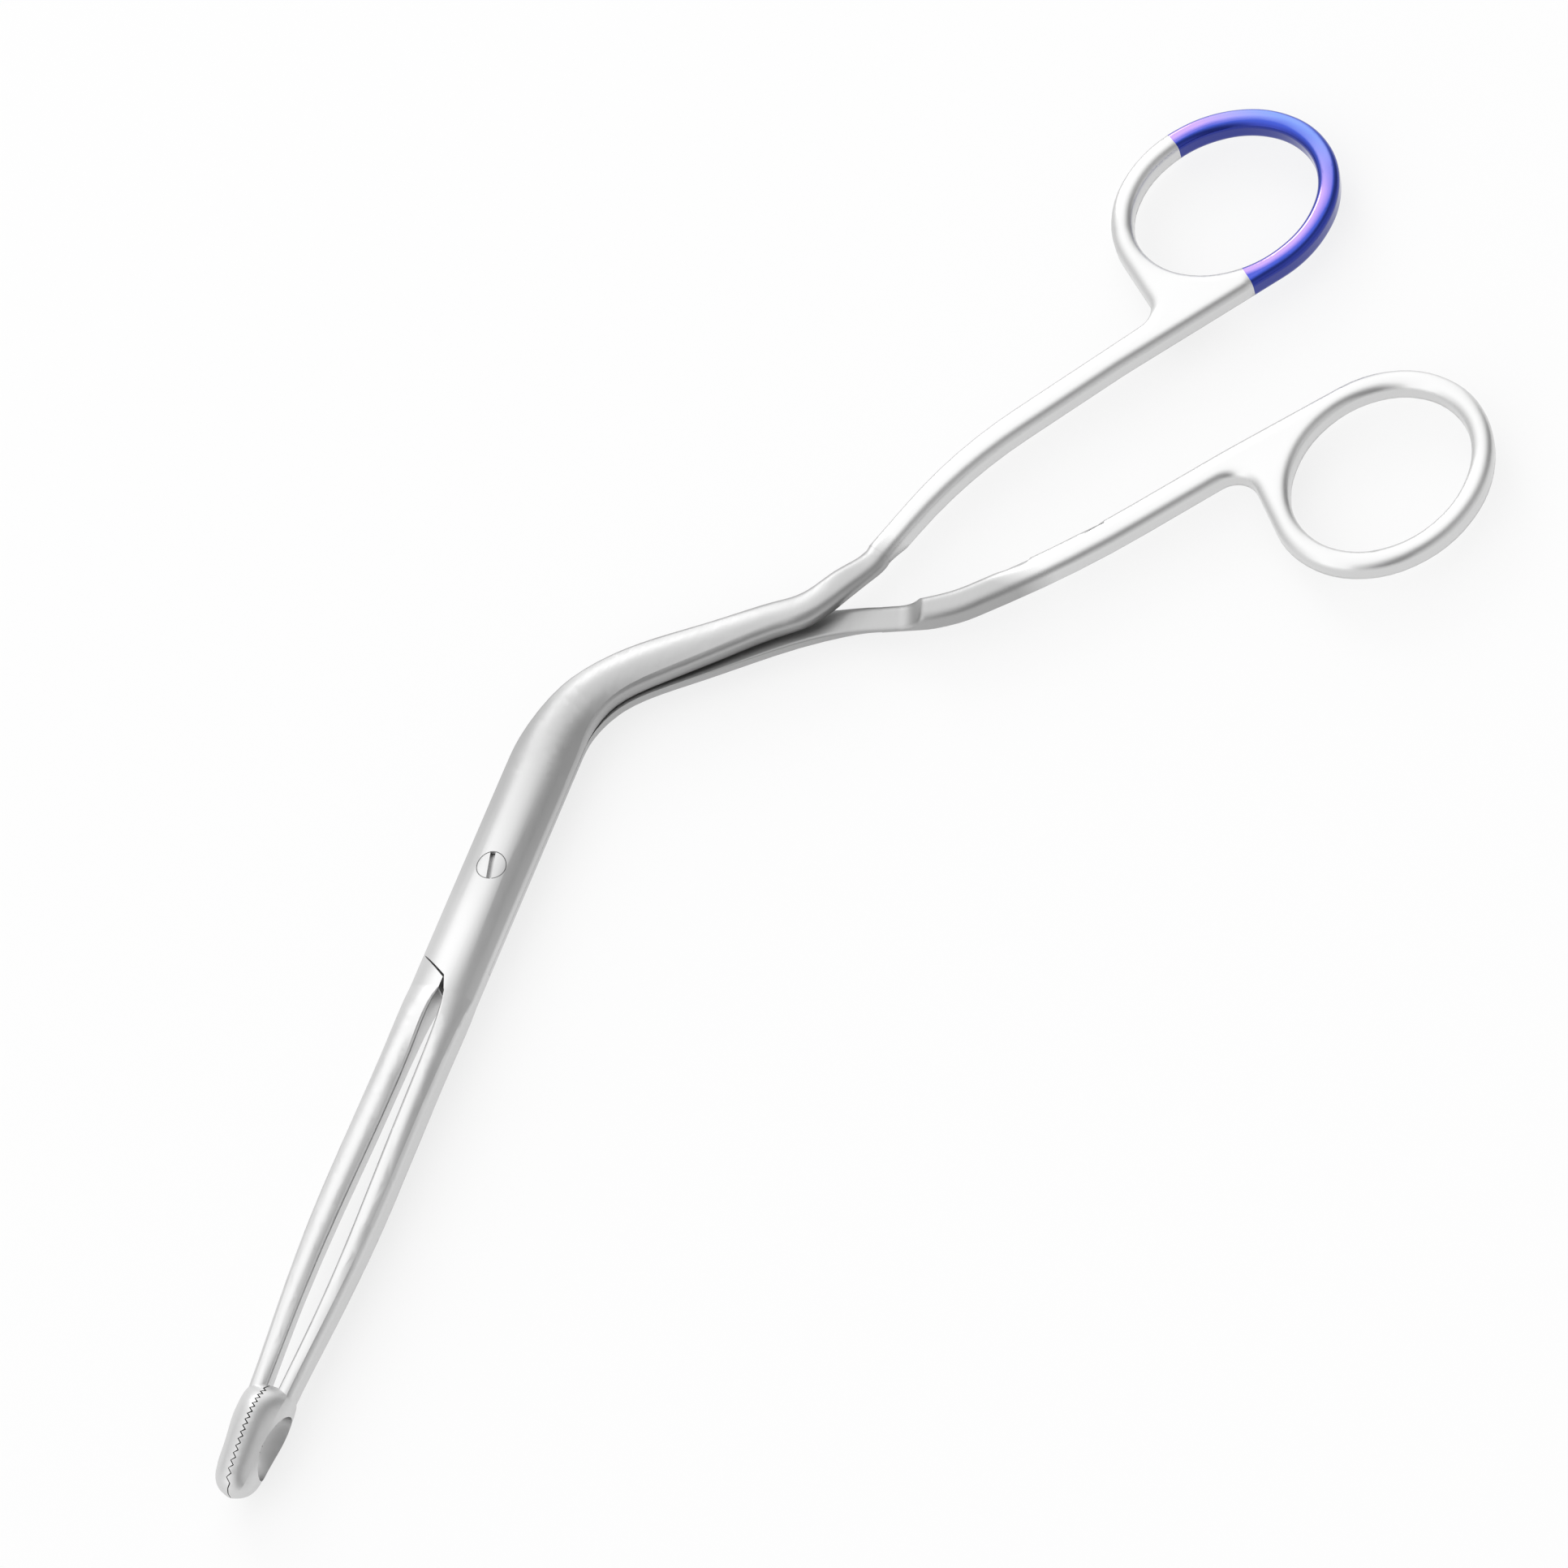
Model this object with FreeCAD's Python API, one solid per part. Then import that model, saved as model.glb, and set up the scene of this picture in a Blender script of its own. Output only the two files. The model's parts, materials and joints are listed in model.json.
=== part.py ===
import os
from math import acos, atan2, cos, degrees, pi, radians, sin, sqrt, tan
import FreeCAD, Part

# Magill forceps, adult pattern, closed, lying flat. Built about the pivot: +X to the jaw tips,
# +Y to the side the handles are bent to, +Z to the screw head. All sizes in mm.

V = FreeCAD.Vector

# Joint bar
JOINT_HALF_WIDTH = 4.95
JOINT_TOP = 3.0
CROWN_RADIUS = 6.9
EDGE_SOFTNESS = 0.8
LAP_CLEARANCE = 0.02
BAR_START = -15.0
BAR_END = 20.0

# Step where each half's plate ends over the other half's jaw
STEP_SIDE_X = 14.8
STEP_CENTRE_X = 17.9
STEP_GAP_SIDE = 0.15
STEP_GAP_CENTRE = 0.40
ROOT_OPENING = 0.8

# Pivot screw
SCREW_DIAMETER = 4.3
SCREW_CLEARANCE = 0.04
THREAD_DIAMETER = 3.0
SLOT_WIDTH = 0.78
SLOT_DEPTH = 0.9
SLOT_ANGLE = 13.0
SCREW_SINK = 0.03

# Handles and finger rings
HANDLE_WIDTH = 4.1
UPPER_ROOT_WIDTH = 3.7
LOWER_ROOT_WIDTH = 3.9
HANDLE_THICKNESS = 3.7
HANDLE_SOFTNESS = 1.05
HOLE_LONG = 14.15
HOLE_SHORT = 11.85
RING_WALL = 3.2
UPPER_RING = (-130.6, 64.3, 143.0)
LOWER_RING = (-92.4, 100.8, 158.0)
NECK_RADIUS = 3.5
JOIN_RADIUS = 60.0
RING_STEPS = 9
HOLE_STEPS = 12
RELIEF = 0.55
UPPER_ROOT_UNDER = -0.1
SEAM_INSET = 0.03

# Coloured band on the upper ring
BAND_DEPTH = 0.12
BAND_CUT_NEAR = (-118.5, 72.1, 47.0)
BAND_CUT_FAR = (-138.6, 53.4, 234.0)

# Tip loops
LOOP_HEEL = 82.5
LOOP_LENGTH = 16.05
TOOTH_PITCH = 0.70
PITCH_GROWTH = 0.028
TOOTH_HEIGHT = 0.55
TOOTH_START = 1.08
TOOTH_COUNT = 16
HEEL_GAP = 0.15
TIP_GAP = 0.07
WINDOW_START = 7.9
WINDOW_LONG = 4.85
WINDOW_HIGH = 2.85

HANDLE_HALF = HANDLE_THICKNESS / 2


# Helpers
def outline(corners):
    """Closed wire through (x, y, radius) corners in the plane z = 0."""
    turns = []
    for index, (x, y, radius) in enumerate(corners):
        here = V(x, y, 0)
        back = V(*corners[index - 1][:2], 0) - here
        ahead = V(*corners[(index + 1) % len(corners)][:2], 0) - here
        back.normalize()
        ahead.normalize()
        if radius == 0:
            turns.append((here, None, here))
            continue
        half = back.getAngle(ahead) / 2
        reach = radius / tan(half)
        inward = (back + ahead).normalize()
        middle = here + inward * (radius / sin(half) - radius)
        turns.append((here + back * reach, middle, here + ahead * reach))
    edges = []
    for index, (start, middle, end) in enumerate(turns):
        if middle:
            edges.append(Part.Arc(start, middle, end).toShape())
        following = turns[(index + 1) % len(turns)][0]
        if (following - end).Length > 0.001:
            edges.append(Part.makeLine(end, following))
    return Part.Wire(edges)


def prism(wire, low, high):
    """Solid between z = low and z = high on a closed outline."""
    face = Part.Face(wire)
    face.translate(V(0, 0, low))
    return face.extrude(V(0, 0, high - low))


def cross(first, second):
    """Point where two (x, y, heading) lines cross."""
    x1, y1, a1 = first[0], first[1], radians(first[2])
    x2, y2, a2 = second[0], second[1], radians(second[2])
    reach = ((x2 - x1) * sin(a2) - (y2 - y1) * cos(a2)) / sin(a2 - a1)
    return x1 + reach * cos(a1), y1 + reach * sin(a1)


def corners_of(lines):
    """Corners between neighbouring (x, y, heading, radius) lines of a closed outline."""
    corners = []
    for index, line in enumerate(lines):
        x, y = cross(line, lines[(index + 1) % len(lines)])
        corners.append((x, y, line[3]))
    return corners


def beside(line, offset):
    """The same (x, y, heading) line moved sideways, positive to its right."""
    x, y, heading = line
    return x + offset * sin(radians(heading)), y - offset * cos(radians(heading)), heading


def along(line, distance):
    """Point on an (x, y, heading) line at a distance from its first point."""
    x, y, heading = line
    return x + distance * cos(radians(heading)), y + distance * sin(radians(heading))


def ring_lines(ring, long, short, first, last, steps, way):
    """Lines that touch an ellipse, with outward normals turned from first to last."""
    cx, cy, tilt = ring
    lines = []
    for index in range(steps + 1):
        normal = first + (last - first) * index / steps
        lean = radians(normal - tilt)
        reach = sqrt((long * cos(lean)) ** 2 + (short * sin(lean)) ** 2)
        later = radians(normal + (last - first) / steps / 2 - tilt)
        span = sqrt((long * cos(later)) ** 2 + (short * sin(later)) ** 2)
        radius = 0.95 * (long * short) ** 2 / span ** 3
        x = cx + reach * cos(radians(normal))
        y = cy + reach * sin(radians(normal))
        lines.append((x, y, normal + 90 * way, radius))
    return lines


def touching_normal(ring, long, short, point, after):
    """Outward normal where the line from the point touches the ellipse, next above after."""
    cx, cy, tilt = ring
    turn = radians(tilt)
    ahead = ((point[0] - cx) * cos(turn) + (point[1] - cy) * sin(turn)) / long
    aside = ((point[1] - cy) * cos(turn) - (point[0] - cx) * sin(turn)) / short
    normals = []
    for sign in (1, -1):
        angle = atan2(aside, ahead) + sign * acos(1 / sqrt(ahead ** 2 + aside ** 2))
        normals.append(degrees(atan2(sin(angle) / short, cos(angle) / long)) + tilt)
    return min((normal - after) % 360 for normal in normals) + after


def section(x, y, heading, far, near, top, bend, under, soft_far, soft_near, far_low=None):
    """Closed cross-section at (x, y): crown arc, soft edges, straight sides, flat underside.

    With under set to None the underside is a crown too, with its own far reach in far_low."""
    base = top - bend
    right = (sin(radians(heading)), -cos(radians(heading)))

    def place(across, height):
        return V(x + across * right[0], y + across * right[1], height)

    def crown(far_reach, flip):
        """Near shoulder, three arcs and far shoulder of one crown, above or below."""
        tangents = []
        for reach, soft, side in ((far_reach, soft_far, -1), (near, soft_near, 1)):
            rise = sqrt((bend - soft) ** 2 - (reach - soft) ** 2)
            lean = atan2(rise, reach - soft)
            shoulder = place(side * reach, flip * (base + rise))
            middle = place(side * (reach - soft + soft * cos(lean / 2)),
                           flip * (base + rise + soft * sin(lean / 2)))
            tangent = place(side * bend * cos(lean), flip * (base + bend * sin(lean)))
            tangents.append((shoulder, middle, tangent, lean))
        low, high = tangents
        top_lean = (high[3] + pi - low[3]) / 2
        apex = place(bend * cos(top_lean), flip * (base + bend * sin(top_lean)))
        arcs = [
            Part.Arc(high[0], high[1], high[2]).toShape(),
            Part.Arc(high[2], apex, low[2]).toShape(),
            Part.Arc(low[2], low[1], low[0]).toShape(),
        ]
        return high[0], arcs, low[0]

    near_top, upper, far_top = crown(far, 1)
    if under is None:
        near_low, lower, far_bottom = crown(far if far_low is None else far_low, -1)
        lower.reverse()
    else:
        far_bottom = place(-far, under)
        near_low = place(near, under)
        lower = [Part.makeLine(far_bottom, near_low)]
    sides = [Part.makeLine(far_top, far_bottom)], [Part.makeLine(near_low, near_top)]
    return Part.Wire(upper + sides[0] + lower + sides[1])


def mirrored(shape, normal):
    return shape.mirror(V(0, 0, 0), normal)


UP = V(0, 0, 1)


# Joint bar, jaw root and jaw rod, made once for the upper half
def crown_bar(start, end, under):
    width = JOINT_HALF_WIDTH
    profile = section(start, 0, 180, width, width, JOINT_TOP, CROWN_RADIUS, under,
                      EDGE_SOFTNESS, EDGE_SOFTNESS)
    return Part.Face(profile).extrude(V(end - start, 0, 0))


def block(corners, low=-8, high=8):
    return prism(Part.makePolygon([V(x, y, 0) for x, y in corners + corners[:1]]), low, high)


JAW_ROOT_START = STEP_SIDE_X + STEP_GAP_SIDE
FACE = LAP_CLEARANCE
beyond_plate = block([(STEP_SIDE_X, -6), (STEP_SIDE_X, -JOINT_HALF_WIDTH), (STEP_CENTRE_X, FACE),
                      (BAR_END, ROOT_OPENING), (BAR_END + 1, ROOT_OPENING), (BAR_END + 1, -6)])
jaw_root_area = block([(JAW_ROOT_START, 6), (JAW_ROOT_START, JOINT_HALF_WIDTH),
                       (STEP_CENTRE_X + STEP_GAP_CENTRE, FACE), (BAR_END + 1, FACE),
                       (BAR_END + 1, 6)])
plate = crown_bar(BAR_START, BAR_END, LAP_CLEARANCE).cut(beyond_plate)
under_bar = mirrored(crown_bar(STEP_SIDE_X - 1, BAR_END, -LAP_CLEARANCE), UP)
jaw_root = under_bar.common(jaw_root_area)

# Jaw rod stations: x, crown line y, inner edge above and below, outer edge, half height,
# crown radius, softness of the inner and outer edges. The inner wall leans, so that each rod is the
# other one turned over.
JAW_STATIONS = [
    (BAR_END, 0.0, ROOT_OPENING, FACE, 4.95, 3.00, 6.9, 0.15, 0.80),
    (24.0, 1.2, 1.25, 0.50, 4.87, 2.90, 5.2, 0.40, 0.90),
    (28.0, 2.0, 1.38, 0.50, 4.78, 2.80, 3.6, 0.50, 1.10),
    (42.0, 2.5, 1.55, 0.65, 4.80, 2.60, 3.2, 0.55, 1.15),
    (57.0, 2.85, 1.85, 1.10, 4.84, 2.40, 2.9, 0.55, 1.15),
    (70.0, 2.6, 1.72, 1.12, 4.20, 2.15, 2.5, 0.55, 1.05),
    (LOOP_HEEL - 2.5, 2.1, 1.20, 0.80, 3.50, 1.95, 2.2, 0.50, 1.00),
    (LOOP_HEEL + 2.5, 1.95, 0.95, 0.75, 3.25, 1.90, 2.1, 0.50, 0.95),
]
rod_sections = []
for x, line, inner, inner_low, outer, half, bend, soft_in, soft_out in JAW_STATIONS:
    rod_sections.append(section(x, line, 180, line - inner, outer - line, half, bend, None,
                                soft_in, soft_out, line - inner_low))
jaw_rod = Part.makeLoft(rod_sections, True, False)


# Tip loop stations: distance from the heel, reach from the contact face, half height
LOOP_TIP = LOOP_HEEL + LOOP_LENGTH
LOOP_STATIONS = [
    (0.0, 3.15, 1.9),
    (0.8, 3.65, 2.9),
    (2.0, 3.85, 3.9),
    (3.7, 3.86, 4.7),
    (6.0, 3.85, 4.9),
    (9.0, 3.62, 4.5),
    (11.9, 3.30, 3.9),
    (14.2, 2.82, 3.1),
    (15.0, 2.35, 2.4),
    (15.6, 1.65, 1.6),
    (LOOP_LENGTH, 0.7, 0.75),
]
LOOP_ROOT = 0.5
RIDGE_REACH = 0.76
RIDGE_RISE = 0.60


def loop_section(x, reach, half, side):
    """Flat on the contact side, domed above and below, with a soft ridge beside the window."""
    def place(y, z):
        return V(x, side * y, z)

    ridge = (RIDGE_REACH * reach, RIDGE_RISE * half)
    dome = (0.42 * reach, 0.87 * half)
    return Part.Wire([
        Part.makeLine(place(-LOOP_ROOT, -half), place(-LOOP_ROOT, half)),
        Part.Arc(place(-LOOP_ROOT, half), place(*dome), place(*ridge)).toShape(),
        Part.Arc(place(*ridge), place(reach, 0), place(ridge[0], -ridge[1])).toShape(),
        Part.Arc(place(ridge[0], -ridge[1]), place(dome[0], -dome[1]),
                 place(-LOOP_ROOT, -half)).toShape(),
    ])


def tip_loop(side):
    """Loop with meshing cross teeth; side is +1 on the near jaw and -1 on the far jaw."""
    def face(x):
        return side * (TIP_GAP + (HEEL_GAP - TIP_GAP) * (LOOP_TIP - x) / (LOOP_TIP - LOOP_HEEL))

    teeth = []
    x = LOOP_HEEL + TOOTH_START
    for index in range(TOOTH_COUNT):
        pitch = TOOTH_PITCH + index * PITCH_GROWTH
        crest = x + pitch / 2
        teeth.append((x, face(x) - TOOTH_HEIGHT / 2))
        teeth.append((crest, face(crest) + TOOTH_HEIGHT / 2))
        x += pitch
    teeth_end = x
    plan = [(LOOP_HEEL - 1, face(LOOP_HEEL)), (LOOP_HEEL, face(LOOP_HEEL))] + teeth + [
        (teeth_end, face(teeth_end)),
        (LOOP_TIP + 1, face(LOOP_TIP)),
        (LOOP_TIP + 1, side * 8),
        (LOOP_HEEL - 1, side * 8),
    ]
    sections = []
    for distance, reach, half in LOOP_STATIONS:
        sections.append(loop_section(LOOP_HEEL + distance, reach, half, side))
    window_centre = V(LOOP_HEEL + WINDOW_START, 0, 0)
    window = Part.Ellipse(window_centre, WINDOW_LONG, WINDOW_HIGH).toShape()
    opening = prism(Part.Wire([window]), -8, 8)
    opening.rotate(V(0, 0, 0), V(1, 0, 0), 90)
    body = Part.makeLoft(sections, True, False).common(block(plan))
    return body.cut(opening)


near_loop = tip_loop(1)
far_loop = tip_loop(-1)

# Handle centre lines as (x, y, heading): the upper one bends twice, the lower one three times
UPPER_LINES = [(-62.43, 35.29, 160.7), (-95.0, 52.75, 143.35)]
LOWER_LINES = [(-53.05, 39.0, 108.0), (-55.0, 45.0, 118.1), (-57.3, 49.3, 131.2), (-80.0, 72.05, 139.4)]
UPPER_BENDS = [70.0]
LOWER_BENDS = [14.0, 20.0, 150.0]

# Arm stations: x, y, heading, far edge, near edge, top, crown radius, underside
ELBOW = [(BAR_START, 0.0, 180.0), (-17.4, 0.0, 180.0), (-19.79, 0.0, 180.0), (-26.08, 1.01, 161.67),
         (-31.73, 3.96, 143.33), (-36.17, 8.53, 125.0), (-40.92, 15.29, 125.0),
         (-46.66, 23.48, 125.0)]
UPPER_FAR = [4.95, 4.93, 4.8, 4.06, 3.7, 3.65, 3.5, 3.3]
UPPER_NEAR = [4.95, 4.95, 4.95, 4.3, 3.5, 3.15, 2.6, 1.85]
LOWER_FAR = [4.95, 4.95, 4.95, 4.3, 3.5, 3.15, 2.6, 1.85]
LOWER_NEAR = [4.95, 4.95, 4.95, 4.37, 3.9, 3.65, 3.45, 3.2]
GAP = [0.02, 0.02, 0.02, 0.06, 0.12, 0.18, 0.28, 0.40]
FLAT = 400.0
UPPER_TAIL = [
    (-51.3, 29.9, 133.0, 3.3, 1.5, 2.90, 7.2, 0.50),
    (-54.9, 31.6, 146.0, 2.6, 1.95, 2.55, 10.0, 0.50),
    (-58.6, 33.6, 157.0, 2.1, 2.05, 2.15, 25.0, 0.36),
    UPPER_LINES[0] + (UPPER_ROOT_WIDTH / 2 - SEAM_INSET, UPPER_ROOT_WIDTH / 2 - SEAM_INSET,
                      HANDLE_HALF - SEAM_INSET, FLAT, UPPER_ROOT_UNDER),
]
LOWER_TAIL = [
    (-49.85, 30.12, 116.5, 2.0, 2.25, 2.75, 7.5, 0.50),
    (-51.6, 34.5, 108.0, 1.95, 1.95, 2.30, 12.0, RELIEF),
    LOWER_LINES[0] + (LOWER_ROOT_WIDTH / 2 - SEAM_INSET, LOWER_ROOT_WIDTH / 2 - SEAM_INSET,
                      HANDLE_HALF - SEAM_INSET, FLAT, RELIEF),
]


def arm(far, near, tail):
    """Half of the bent shaft, from the joint bar to the start of its handle."""
    stations = []
    for place, left, right, gap in zip(ELBOW, far, near, GAP):
        stations.append(place + (left, right, JOINT_TOP, CROWN_RADIUS, gap))
    sections = []
    for station in stations + tail:
        soft = EDGE_SOFTNESS
        if station[0] < -36:
            soft = 1.0
        if station in tail:
            soft = HANDLE_SOFTNESS
        sections.append(section(*station, soft, soft))
    return Part.makeLoft(sections, True, False)



def handle(lines, bends, ring, halves, neck_normal, join_along, way, root_under, ramp):
    """Handle strip and finger ring as one soft-edged bar, relieved under its root by the ramp."""
    outward = []
    inward = []
    for index, line in enumerate(lines):
        turn = way * halves[index]
        radius = bends[index] if index < len(bends) else NECK_RADIUS
        before = bends[index - 1] if index else 0
        outward.append(beside(line, turn) + (radius,))
        back = beside(line, -turn)
        inward.insert(0, (back[0], back[1], back[2] + 180, before))
    # the ring leaves the handle edge at a fixed place along it
    join = along(back, join_along)
    long = HOLE_LONG + RING_WALL
    short = HOLE_SHORT + RING_WALL
    if way > 0:
        last = touching_normal(ring, long, short, join, neck_normal + 180)
    else:
        last = touching_normal(ring, long, short, join, neck_normal - 360)
    ring_out = ring_lines(ring, long, short, neck_normal, last, RING_STEPS, way)
    ring_out[-1] = ring_out[-1][:3] + (JOIN_RADIUS,)
    start = lines[0]
    closing = (start[0], start[1], start[2] + 90, 0)
    bar = prism(outline(corners_of(outward + ring_out + inward + [closing])),
                -HANDLE_HALF, HANDLE_HALF)
    hole_lines = ring_lines(ring, HOLE_LONG, HOLE_SHORT, 0, 360 - 360 / HOLE_STEPS, HOLE_STEPS - 1, 1)
    bar = bar.cut(prism(outline(corners_of(hole_lines)), -HANDLE_HALF - 1, HANDLE_HALF + 1))
    edges = []
    for edge in bar.Edges:
        middle = edge.valueAt((edge.FirstParameter + edge.LastParameter) / 2)
        away = (middle.x - start[0]) * cos(radians(start[2]))
        away += (middle.y - start[1]) * sin(radians(start[2]))
        if edge.BoundBox.ZLength < 0.01 and away > 0.01:
            edges.append(edge)
    bar = bar.makeFillet(HANDLE_SOFTNESS, edges)
    begin, middle, end = ramp
    profile = Part.Wire([
        Part.makeLine(V(-3, 0, -5), V(-3, 0, root_under)),
        Part.makeLine(V(-3, 0, root_under), V(begin, 0, root_under)),
        Part.Arc(V(begin, 0, root_under), V(middle[0], 0, middle[1]),
                 V(end, 0, -HANDLE_HALF)).toShape(),
        Part.makeLine(V(end, 0, -HANDLE_HALF), V(end, 0, -5)),
        Part.makeLine(V(end, 0, -5), V(-3, 0, -5)),
    ])
    relief = Part.Face(profile).extrude(V(0, 16, 0))
    relief.translate(V(0, -8, 0))
    relief.rotate(V(0, 0, 0), UP, start[2])
    relief.translate(V(start[0], start[1], 0))
    return bar.cut(relief)


UPPER_RAMP = (0.3, (2.6, -0.72), 4.9)
LOWER_RAMP = (2.5, (4.9, -0.35), 6.1)
HALF_WIDTH = HANDLE_WIDTH / 2
upper_handle = handle(UPPER_LINES, UPPER_BENDS, UPPER_RING, [UPPER_ROOT_WIDTH / 2, HALF_WIDTH],
                      -43.0, 8.0, -1, UPPER_ROOT_UNDER, UPPER_RAMP)
lower_handle = handle(LOWER_LINES, LOWER_BENDS, LOWER_RING,
                      [LOWER_ROOT_WIDTH / 2, HALF_WIDTH, HALF_WIDTH, HALF_WIDTH],
                      -49.4, 11.6, 1, RELIEF, LOWER_RAMP)

upper_arm = arm(UPPER_FAR, UPPER_NEAR, UPPER_TAIL)
lower_arm = arm(LOWER_FAR, LOWER_NEAR, LOWER_TAIL)



# Pivot screw: head and shoulder in the upper half, thread in the lower half
def cylinder(diameter, low, high):
    return Part.makeCylinder(diameter / 2, high - low, V(0, 0, low))


head_top = JOINT_TOP - SCREW_SINK
head_limit = Part.makeCylinder(CROWN_RADIUS - SCREW_SINK, 10, V(-5, 0, JOINT_TOP - CROWN_RADIUS), V(1, 0, 0))
foot_limit = mirrored(head_limit, UP)
slot = Part.makeBox(6, SLOT_WIDTH, 2, V(-3, -SLOT_WIDTH / 2, head_top - SLOT_DEPTH))
slot.rotate(V(0, 0, 0), UP, SLOT_ANGLE)
shoulder = cylinder(SCREW_DIAMETER, -LAP_CLEARANCE, 5).common(head_limit)
thread = cylinder(THREAD_DIAMETER, -5, -LAP_CLEARANCE).common(foot_limit)
pivot_screw = shoulder.fuse(thread).cut(slot)
running_bore = cylinder(SCREW_DIAMETER + 2 * SCREW_CLEARANCE, -5, 5)
threaded_bore = cylinder(THREAD_DIAMETER, -5, 5)


# Levers
def joined(*shapes):
    whole = shapes[0].multiFuse(list(shapes[1:])).removeSplitter()
    return whole.Solids[0] if len(whole.Solids) == 1 else whole


upper_joint = joined(plate, jaw_root)
lower_joint = upper_joint.copy()
lower_joint.rotate(V(0, 0, 0), V(1, 0, 0), 180)
far_rod = jaw_rod.copy()
far_rod.rotate(V(0, 0, 0), V(1, 0, 0), 180)
upper_lever = joined(upper_joint.cut(running_bore), jaw_rod, near_loop, upper_arm, upper_handle)
lower_lever = joined(lower_joint.cut(threaded_bore), far_rod, far_loop,
                     mirrored(lower_arm, UP), mirrored(lower_handle, UP))


# Coloured band: a thin skin let into the far end of the upper ring
def ring_core(ring):
    """Ring bar without its outer skin."""
    reach = RING_WALL - BAND_DEPTH
    turned = 360 - 360 / HOLE_STEPS
    outer = ring_lines(ring, HOLE_LONG + reach, HOLE_SHORT + reach, 0, turned, HOLE_STEPS - 1, 1)
    inner = ring_lines(ring, HOLE_LONG + BAND_DEPTH, HOLE_SHORT + BAND_DEPTH, 0, turned,
                       HOLE_STEPS - 1, 1)
    level = HANDLE_HALF - BAND_DEPTH
    bar = prism(outline(corners_of(outer)), -level, level)
    bar = bar.cut(prism(outline(corners_of(inner)), -level - 1, level + 1))
    edges = [edge for edge in bar.Edges if edge.BoundBox.ZLength < 0.01]
    return bar.makeFillet(HANDLE_SOFTNESS - BAND_DEPTH, edges)


band_area = block([along(BAND_CUT_NEAR, -8), along(BAND_CUT_NEAR, 12), (-118, 100), (-165, 100),
                   (-165, 35), along(BAND_CUT_FAR, 12), along(BAND_CUT_FAR, -8)])
blue_coating_band = upper_handle.common(band_area).cut(ring_core(UPPER_RING)).Solids[0]
upper_lever = upper_lever.cut(blue_coating_band)

pieces = {
    "lower_lever": lower_lever,
    "upper_lever": upper_lever,
    "pivot_screw": pivot_screw,
    "blue_coating_band": blue_coating_band,
}

# Origin under the middle of the whole tool, on the plane it rests on
whole = Part.makeCompound(list(pieces.values())).optimalBoundingBox(True)
shift = V(-(whole.XMin + whole.XMax) / 2, -(whole.YMin + whole.YMax) / 2, -whole.ZMin)
os.makedirs("parts", exist_ok=True)
for name, piece in pieces.items():
    solids = piece.Solids
    shape = solids[0] if len(solids) == 1 else piece
    shape.translate(shift)
    shape.exportStep("parts/" + name + ".step")
    print(name, "valid", shape.isValid(), "solids", len(solids), "volume", round(shape.Volume, 1))
print("pivot at", round(shift.x, 3), round(shift.y, 3), round(shift.z, 3))
print("size", round(whole.XLength, 2), round(whole.YLength, 2), round(whole.ZLength, 2))
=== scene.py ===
import json
from math import atan, cos, radians, sin

import bpy
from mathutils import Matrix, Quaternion, Vector

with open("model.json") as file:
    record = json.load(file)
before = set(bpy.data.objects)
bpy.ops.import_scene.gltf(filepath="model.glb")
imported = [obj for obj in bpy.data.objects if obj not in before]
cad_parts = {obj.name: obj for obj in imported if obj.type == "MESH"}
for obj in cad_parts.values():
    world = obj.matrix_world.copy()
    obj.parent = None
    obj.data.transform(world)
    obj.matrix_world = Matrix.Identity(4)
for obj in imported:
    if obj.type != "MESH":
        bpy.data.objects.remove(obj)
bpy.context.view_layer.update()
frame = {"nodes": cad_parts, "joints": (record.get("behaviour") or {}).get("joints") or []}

# Camera: photo sizes in pixels, angles in degrees, lengths in metres as everywhere below
PHOTO_SIZE = 1932
PHOTO_FOCAL = 9000.0
VIEW_ELEVATION = 58.0
VIEW_AZIMUTH = 39.716
VIEW_ROLL = -22.0
VIEW_DISTANCE = 1.02273
PIVOT = Vector(frame["joints"][0]["pos_m"])
VIEW_TARGET = PIVOT + Vector((-0.024031, 0.035002, 0.0))

# Steel zones: where along the tool a change of finish or of painted shade starts and ends
ROUNDED_EDGES_END = (-0.045, -0.01)
POLISH_END = (-0.041, -0.037)
JAW_SMOOTHER = (-0.01, 0.02)
# Where the painted shade on the shaft lifts again towards the jaws
JAW_SHADE_FADE = (-0.005, 0.035)

# Steel finish
LEVER_TONE = 0.67
SCREW_TONE = 0.66
# Share of the tone left on the shaft under its painted shade
SHAFT_PAINTED_SHADE = 0.64
EDGE_ROUNDING = 0.0020
SHAFT_ROUGHNESS = 0.2
JAW_SMOOTHING = 0.06
CLOUD_SCALE = 60.0
CLOUD_ROUGHNESS = (0.17, 0.25)
CLOUD_TONE = (0.96, 1.0)
STREAK_SCALE = (400.0, 4000.0, 2000.0)
STREAK_ROUGHNESS = (-0.02, 0.02)
# Grey of the painted shade on the tooth flanks and round the screw head
PAINTED_SHADE_GREY = (0.2, 0.2, 0.2)

# Tip teeth, whose upright flanks get painted shade: their ends along the tool, their reach from the
# closure line and how upright a flank is
TEETH_START = PIVOT.x + 0.0834
TEETH_END = PIVOT.x + 0.0968
TEETH_FADE = 0.0002
TEETH_REACH = (0.0006, 0.0008)
FLANK_SLOPE = (0.02, 0.08)

# Painted shade in the seam round the screw head's rim, as distances from the screw's axis
SCREW_RADIUS = 0.00215
SCREW_RIM = (SCREW_RADIUS - 0.00013, SCREW_RADIUS - 0.00007)
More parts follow.
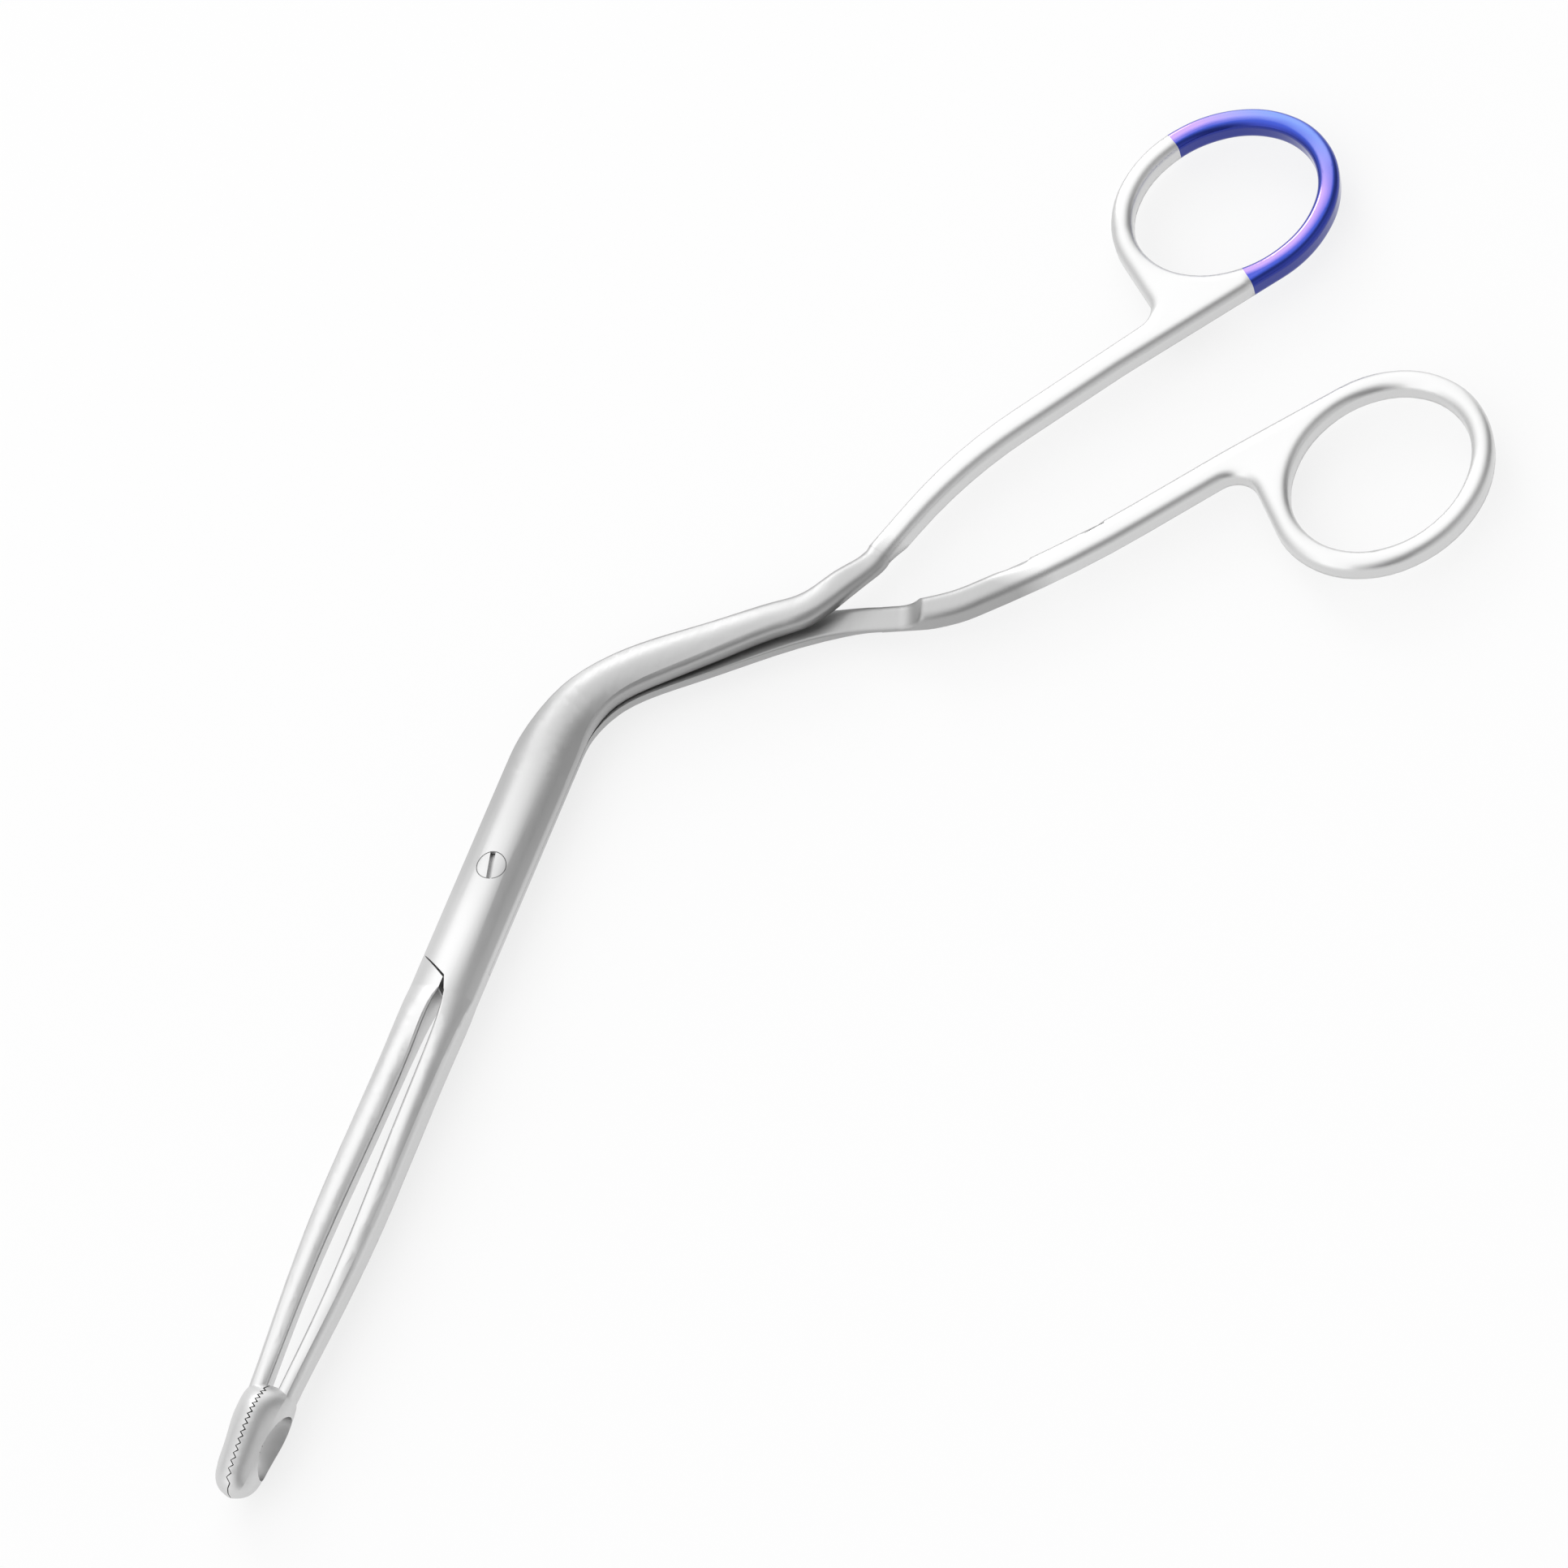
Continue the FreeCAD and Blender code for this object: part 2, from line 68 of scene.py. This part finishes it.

# Coated ring: its crest is an ellipse, where a painted highlight lies; the painted highlight and shade
# lean towards the near side, and the highlight turns bluer towards the far end
RING_CENTRE = PIVOT + Vector((-0.1306, 0.0643, 0.0))
RING_TURN = radians(143.0)
RING_LONG = 0.01575
RING_SHORT = 0.01345
RING_FLATTEN = 1000.0
NEAR_WAY = Vector((0.75, 0.66, 0.0))
END_WAY = Vector((-0.94, 0.33, 0.0))
LEAN_REACH = (-0.03, 0.03)
LEAN_SHIFT = 0.13
END_REACH = (0.55, 1.0)
HIGHLIGHT_FACING = (0.86, 0.97)
CREST_HIGHLIGHT_COLOURS = (
    (0.0, (0.46, 0.30, 0.74)),
    (1.0, (0.17, 0.27, 0.72)),
)
SIDE_SHADED_BLUES = (
    (0.0, (0.006, 0.019, 0.26)),
    (0.6, (0.008, 0.028, 0.34)),
    (0.9, (0.025, 0.065, 0.50)),
)
FILM_CLOUD_SCALE = 90.0
FILM_CLOUD_SHIFT = (-0.02, 0.02)
FILM_ROUGHNESS = (0.13, 0.2)

# The middle stretch of a noise, which holds most of its values, and a wider one
NOISE_MIDDLE = (0.3, 0.7)
NOISE_WIDE = (0.25, 0.75)

# Floor
FLOOR_REACH = 6.0
FLOOR_GLOW = 0.75

# Sky: its shade from the far side, 0, to the near side, 1
SKY_PEAK = 1.55
SKY_SHADE = (
    (0.00, 0.50),
    (0.12, 0.72),
    (0.30, 1.00),
    (0.46, 0.92),
    (0.58, 0.54),
    (0.70, 0.24),
    (0.80, 0.24),
    (0.92, 0.50),
)


# Shader helpers
def new_material(name):
    material = bpy.data.materials.new(name)
    material.use_nodes = True
    tree = material.node_tree
    tree.nodes.clear()
    output = tree.nodes.new("ShaderNodeOutputMaterial")
    shader = tree.nodes.new("ShaderNodeBsdfPrincipled")
    tree.links.new(shader.outputs["BSDF"], output.inputs["Surface"])
    return material, tree, shader


def position(tree, scale=(1.0, 1.0, 1.0)):
    """Object coordinates, scaled."""
    source = tree.nodes.new("ShaderNodeTexCoord")
    mapping = tree.nodes.new("ShaderNodeMapping")
    mapping.inputs["Scale"].default_value = scale
    tree.links.new(source.outputs["Object"], mapping.inputs["Vector"])
    return mapping.outputs["Vector"]


def axes(tree, vector):
    """The sockets X, Y and Z of a vector."""
    node = tree.nodes.new("ShaderNodeSeparateXYZ")
    tree.links.new(vector, node.inputs["Vector"])
    return node.outputs


def measure(tree, operation, vector, other=(0.0, 0.0, 0.0)):
    """One number from a vector: its length, its distance from a point or its reach along a direction."""
    node = tree.nodes.new("ShaderNodeVectorMath")
    node.operation = operation
    node.inputs[1].default_value = other
    tree.links.new(vector, node.inputs[0])
    return node.outputs["Value"]


def noise(tree, vector, scale, detail):
    node = tree.nodes.new("ShaderNodeTexNoise")
    node.inputs["Scale"].default_value = scale
    node.inputs["Detail"].default_value = detail
    tree.links.new(vector, node.inputs["Vector"])
    return node.outputs["Fac"]


def remap(tree, value, before, after):
    """A value carried from one pair of limits to another, and held at their ends."""
    node = tree.nodes.new("ShaderNodeMapRange")
    node.inputs["From Min"].default_value = before[0]
    node.inputs["From Max"].default_value = before[1]
    node.inputs["To Min"].default_value = after[0]
    node.inputs["To Max"].default_value = after[1]
    tree.links.new(value, node.inputs["Value"])
    return node.outputs["Result"]


def combine(tree, operation, first, second=0.0):
    """Arithmetic on two values, each a socket or a number."""
    node = tree.nodes.new("ShaderNodeMath")
    node.operation = operation
    for socket, value in zip(node.inputs, (first, second)):
        if isinstance(value, float):
            socket.default_value = value
        else:
            tree.links.new(value, socket)
    return node.outputs["Value"]


def ramp(tree, value, stops):
    node = tree.nodes.new("ShaderNodeValToRGB")
    elements = node.color_ramp.elements
    while len(elements) < len(stops):
        elements.new(0.5)
    for element, (place, colour) in zip(elements, stops):
        element.position = place
        element.color = colour + (1.0,)
    tree.links.new(value, node.inputs["Fac"])
    return node.outputs["Color"]


def blend(tree, share, first, second):
    """Two colours mixed, each a socket or a plain colour."""
    mix = tree.nodes.new("ShaderNodeMix")
    mix.data_type = "RGBA"
    tree.links.new(share, mix.inputs["Factor"])
    for socket, colour in ((mix.inputs[6], first), (mix.inputs[7], second)):
        if isinstance(colour, tuple):
            socket.default_value = colour + (1.0,)
        else:
            tree.links.new(colour, socket)
    return mix.outputs[2]


# Steel
def teeth_gap_shade(tree, colour):
    """Paints shade on the upright flanks of the tip teeth, the dark of the narrow gap between them."""
    geometry = tree.nodes.new("ShaderNodeNewGeometry")
    normal = axes(tree, geometry.outputs["True Normal"])
    place = axes(tree, position(tree))
    from_line = combine(tree, "ABSOLUTE", combine(tree, "SUBTRACT", place["Y"], PIVOT.y))
    near_line = remap(tree, from_line, TEETH_REACH, (1.0, 0.0))
    upright = remap(tree, combine(tree, "ABSOLUTE", normal["Z"]), FLANK_SLOPE, (1.0, 0.0))
    past_heel = remap(tree, place["X"], (TEETH_START, TEETH_START + TEETH_FADE), (0.0, 1.0))
    before_front = remap(tree, place["X"], (TEETH_END, TEETH_END + TEETH_FADE), (1.0, 0.0))
    flank = combine(tree, "MULTIPLY", near_line, upright)
    in_tip = combine(tree, "MULTIPLY", past_heel, before_front)
    return blend(tree, combine(tree, "MULTIPLY", flank, in_tip), colour, PAINTED_SHADE_GREY)


def screw_seam_shade(tree, colour):
    """Paints shade on the screw head's edge, in the seam where the head meets the lever."""
    flat_place = position(tree, (1.0, 1.0, 0.0))
    from_axis = measure(tree, "DISTANCE", flat_place, (PIVOT.x, PIVOT.y, 0.0))
    return blend(tree, remap(tree, from_axis, SCREW_RIM, (0.0, 1.0)), colour, PAINTED_SHADE_GREY)


def rounded_normal(tree, radius):
    """The surface's direction with its edges rounded."""
    bevel = tree.nodes.new("ShaderNodeBevel")
    bevel.samples = 8
    tree.links.new(radius, bevel.inputs["Radius"])
    return bevel.outputs["Normal"]


def steel(name, tone, shade_marks):
    """Surgical steel, polished on the handles and rings, and a rougher satin on the shaft and jaws, with
    painted shade lowering the tone on the shaft.
    """
    material, tree, shader = new_material(name)
    shader.inputs["Metallic"].default_value = 1.0
    place = position(tree)
    along = axes(tree, place)["X"]
    cloud = noise(tree, place, CLOUD_SCALE, detail=3.0)
    streak = noise(tree, position(tree, STREAK_SCALE), 1.0, detail=2.0)

    rounding = remap(tree, along, ROUNDED_EDGES_END, (EDGE_ROUNDING, 0.0))
    tree.links.new(rounded_normal(tree, rounding), shader.inputs["Normal"])

    satin = remap(tree, along, POLISH_END, (0.0, SHAFT_ROUGHNESS))
    satin = combine(tree, "SUBTRACT", satin, remap(tree, along, JAW_SMOOTHER, (0.0, JAW_SMOOTHING)))
    rough = combine(tree, "ADD", satin, remap(tree, cloud, NOISE_MIDDLE, CLOUD_ROUGHNESS))
    rough = combine(tree, "ADD", rough, remap(tree, streak, NOISE_MIDDLE, STREAK_ROUGHNESS))
    tree.links.new(rough, shader.inputs["Roughness"])

    # Painted shade: the tone drops on the shaft and comes back on the jaws
    level = remap(tree, along, POLISH_END, (tone, SHAFT_PAINTED_SHADE * tone))
    shade_lift = remap(tree, along, JAW_SHADE_FADE, (0.0, (1.0 - SHAFT_PAINTED_SHADE) * tone))
    level = combine(tree, "ADD", level, shade_lift)
    level = combine(tree, "MULTIPLY", level, remap(tree, cloud, NOISE_WIDE, CLOUD_TONE))
    tree.links.new(shade_marks(tree, level), shader.inputs["Base Color"])
    return material


# Coating
def in_ring(way):
    """A direction of the frame, in the coated ring's own axes."""
    return Quaternion((0, 0, 1), -RING_TURN) @ way


def ring_position(tree):
    """Place about the ring, flattened and scaled so that its crest is one from the centre all round."""
    source = tree.nodes.new("ShaderNodeTexCoord")
    mapping = tree.nodes.new("ShaderNodeMapping")
    mapping.vector_type = "TEXTURE"
    mapping.inputs["Location"].default_value = RING_CENTRE
    mapping.inputs["Rotation"].default_value = (0.0, 0.0, RING_TURN)
    mapping.inputs["Scale"].default_value = (RING_LONG, RING_SHORT, RING_FLATTEN)
    tree.links.new(source.outputs["Object"], mapping.inputs["Vector"])
    return mapping.outputs["Vector"]


def coating(name):
    """Glossy blue film over steel, with a painted violet highlight along the ring's crest where it faces
    up, bluer towards the ring's end, and painted shade darkening the blue where it faces less upward.
    """
    material, tree, shader = new_material(name)
    shader.inputs["Metallic"].default_value = 0.9
    shader.inputs["Coat Weight"].default_value = 0.6
    shader.inputs["Coat Roughness"].default_value = 0.04
    place = ring_position(tree)
    from_crest = combine(tree, "SUBTRACT", measure(tree, "LENGTH", place), 1.0)
    near_side = measure(tree, "DOT_PRODUCT", place, in_ring(NEAR_WAY))
    at_end = measure(tree, "DOT_PRODUCT", place, in_ring(END_WAY))
    cloud = noise(tree, position(tree), FILM_CLOUD_SCALE, detail=2.0)

    geometry = tree.nodes.new("ShaderNodeNewGeometry")
    upward = axes(tree, geometry.outputs["Normal"])["Z"]
    lean = remap(tree, combine(tree, "MULTIPLY", from_crest, near_side), LEAN_REACH, (0.0, LEAN_SHIFT))
    facing = combine(tree, "SUBTRACT", upward, lean)
    facing = combine(tree, "ADD", facing, remap(tree, cloud, NOISE_MIDDLE, FILM_CLOUD_SHIFT))

    # Painted highlight on the upward-facing crest and painted shade on the sides, both set by how much
    # the surface faces up
    crest = ramp(tree, remap(tree, at_end, END_REACH, (0.0, 1.0)), CREST_HIGHLIGHT_COLOURS)
    side = ramp(tree, facing, SIDE_SHADED_BLUES)
    highlight_share = remap(tree, facing, HIGHLIGHT_FACING, (0.0, 1.0))
    tree.links.new(blend(tree, highlight_share, side, crest), shader.inputs["Base Color"])
    tree.links.new(remap(tree, cloud, NOISE_MIDDLE, FILM_ROUGHNESS), shader.inputs["Roughness"])
    return material


def dress(node, material):
    for slot in frame["nodes"][node].material_slots:
        slot.material = material


# The levers get painted shade on their tooth flanks, and the screw gets painted shade round its rim
lever_steel = steel("satin_steel", LEVER_TONE, teeth_gap_shade)
screw_steel = steel("screw_steel", SCREW_TONE, screw_seam_shade)
dress("lower_lever", lever_steel)
dress("upper_lever", lever_steel)
dress("pivot_screw", screw_steel)
dress("blue_coating_band", coating("blue_coating"))


# Floor, partly self-lit where it is seen or reflected, so the tool's shadow stays faint
def seen_directly(tree, share):
    path = tree.nodes.new("ShaderNodeLightPath")
    seen = combine(tree, "MAXIMUM", path.outputs["Is Camera Ray"], path.outputs["Is Glossy Ray"])
    seen = combine(tree, "MAXIMUM", seen, path.outputs["Is Transmission Ray"])
    return combine(tree, "MULTIPLY", seen, share)


def floor():
    mesh = bpy.data.meshes.new("floor")
    corners = [(x * FLOOR_REACH, y * FLOOR_REACH, 0) for x, y in ((-1, -1), (1, -1), (1, 1), (-1, 1))]
    mesh.from_pydata(corners, [], [(0, 1, 2, 3)])
    plane = bpy.data.objects.new("floor", mesh)
    bpy.context.scene.collection.objects.link(plane)
    material, tree, shader = new_material("floor")
    shader.inputs["Base Color"].default_value = (0.9, 0.9, 0.9, 1.0)
    shader.inputs["Roughness"].default_value = 0.9
    glow = tree.nodes.new("ShaderNodeEmission")
    glow.inputs["Color"].default_value = (1.0, 1.0, 1.0, 1.0)
    glow.inputs["Strength"].default_value = 1.0
    mix = tree.nodes.new("ShaderNodeMixShader")
    tree.links.new(seen_directly(tree, FLOOR_GLOW), mix.inputs["Fac"])
    tree.links.new(shader.outputs["BSDF"], mix.inputs[1])
    tree.links.new(glow.outputs["Emission"], mix.inputs[2])
    tree.links.new(mix.outputs["Shader"], tree.nodes["Material Output"].inputs["Surface"])
    mesh.materials.append(material)


floor()


# Light: a soft studio sky, brightest on the far side and dimmest high on the near side, and one low lamp
def sky():
    world = bpy.data.worlds.new("sky")
    bpy.context.scene.world = world
    world.use_nodes = True
    tree = world.node_tree
    tree.nodes.clear()
    output = tree.nodes.new("ShaderNodeOutputWorld")
    background = tree.nodes.new("ShaderNodeBackground")
    background.inputs["Color"].default_value = (1.0, 1.0, 1.0, 1.0)
    source = tree.nodes.new("ShaderNodeTexCoord")
    across = remap(tree, axes(tree, source.outputs["Generated"])["Y"], (-1.0, 1.0), (0.0, 1.0))
    shade = ramp(tree, across, [(place, (level, level, level)) for place, level in SKY_SHADE])
    tree.links.new(combine(tree, "MULTIPLY", shade, SKY_PEAK), background.inputs["Strength"])
    tree.links.new(background.outputs["Background"], output.inputs["Surface"])


def lamp(name, direction, distance, size, power):
    data = bpy.data.lights.new(name, "AREA")
    data.shape = "DISK"
    data.size = size
    data.energy = power
    light = bpy.data.objects.new(name, data)
    way = Vector(direction).normalized()
    light.location = VIEW_TARGET + way * distance
    light.rotation_euler = (-way).to_track_quat("-Z", "Y").to_euler()
    bpy.context.scene.collection.objects.link(light)


sky()
lamp("key", direction=(-0.63, -0.63, 0.45), distance=1.5, size=0.6, power=3.0)


# Camera at the photograph's viewing angle
def camera():
    data = bpy.data.cameras.new("camera")
    data.sensor_fit = "HORIZONTAL"
    data.angle = 2 * atan(PHOTO_SIZE / 2 / PHOTO_FOCAL)
    data.clip_start = 0.05
    data.clip_end = 20.0
    eye = bpy.data.objects.new("camera", data)
    elevation = radians(VIEW_ELEVATION)
    azimuth = radians(VIEW_AZIMUTH)
    way = Vector((cos(elevation) * cos(azimuth), cos(elevation) * sin(azimuth), sin(elevation)))
    roll = Quaternion((0, 0, 1), radians(VIEW_ROLL))
    eye.location = VIEW_TARGET + way * VIEW_DISTANCE
    eye.rotation_mode = "QUATERNION"
    eye.rotation_quaternion = (-way).to_track_quat("-Z", "Y") @ roll
    bpy.context.scene.collection.objects.link(eye)
    bpy.context.scene.camera = eye


camera()
bpy.context.scene.view_settings.view_transform = "Standard"

bpy.context.view_layer.update()
